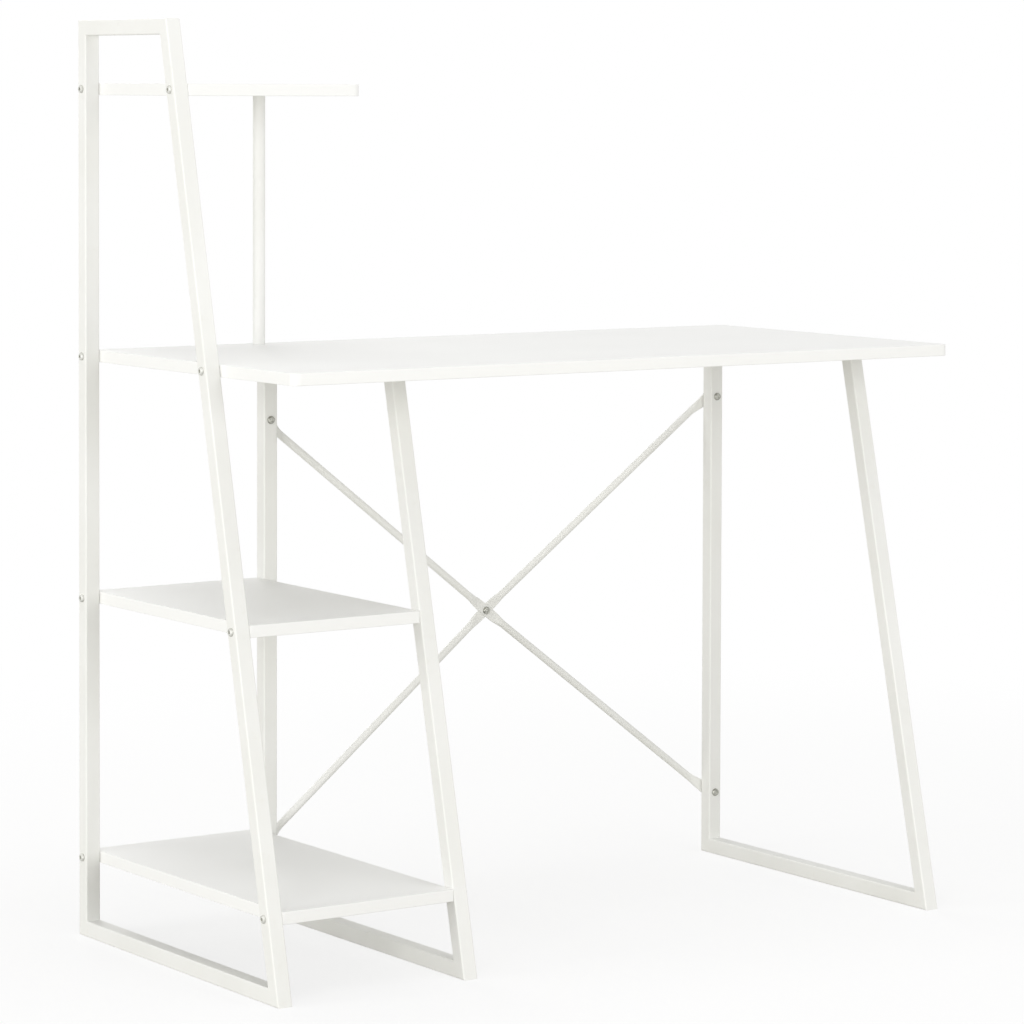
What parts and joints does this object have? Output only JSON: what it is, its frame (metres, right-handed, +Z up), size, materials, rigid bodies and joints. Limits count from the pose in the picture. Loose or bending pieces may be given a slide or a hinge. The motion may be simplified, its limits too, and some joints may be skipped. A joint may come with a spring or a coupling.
{
  "type": "computer desk",
  "caption": "Computer desk with slanted welded tube frames, a side rack with shelves on the left, a small raised shelf on a round pole, and crossed rear braces.",
  "frame": {"origin": "on the floor, at the middle of the desk's whole outline seen from above", "axes": "+Z up, +X to the sitter's right, along the desktop, and +Y to the rear, away from the sitter"},
  "size_m": [1.0234, 0.5288, 1.167],
  "materials": {
    "frame_paint": "satin",
    "board_white": "satin",
    "bolt_zinc": "satin",
    "brace_zinc": "satin",
    "nut_zinc": "satin"
  },
  "bodies": {
    "root": {"left_rear_post": "frame_paint", "left_front_leg": "frame_paint", "left_floor_bar": "frame_paint", "left_top_bar": "frame_paint", "middle_rear_post": "frame_paint", "middle_front_leg": "frame_paint", "middle_floor_bar": "frame_paint", "middle_top_bar": "frame_paint", "right_rear_post": "frame_paint", "right_front_leg": "frame_paint", "right_floor_bar": "frame_paint", "right_top_bar": "frame_paint", "shelf_pole": "frame_paint", "rising_brace": "frame_paint", "falling_brace": "frame_paint", "desktop": "board_white", "top_shelf": "board_white", "middle_shelf": "board_white", "bottom_shelf": "board_white", "left_frame_bolts": "bolt_zinc", "middle_frame_bolts": "bolt_zinc", "desktop_frame_bolts": "bolt_zinc", "pole_bolts": "bolt_zinc", "brace_bolts": "brace_zinc", "crossing_bolt": "brace_zinc", "brace_nuts": "brace_zinc", "brace_washers": "brace_zinc", "left_barrel_nuts": "nut_zinc", "middle_barrel_nuts": "nut_zinc", "desktop_insert_nuts": "nut_zinc", "pole_end_plugs": "nut_zinc"}
  },
  "joints": []
}
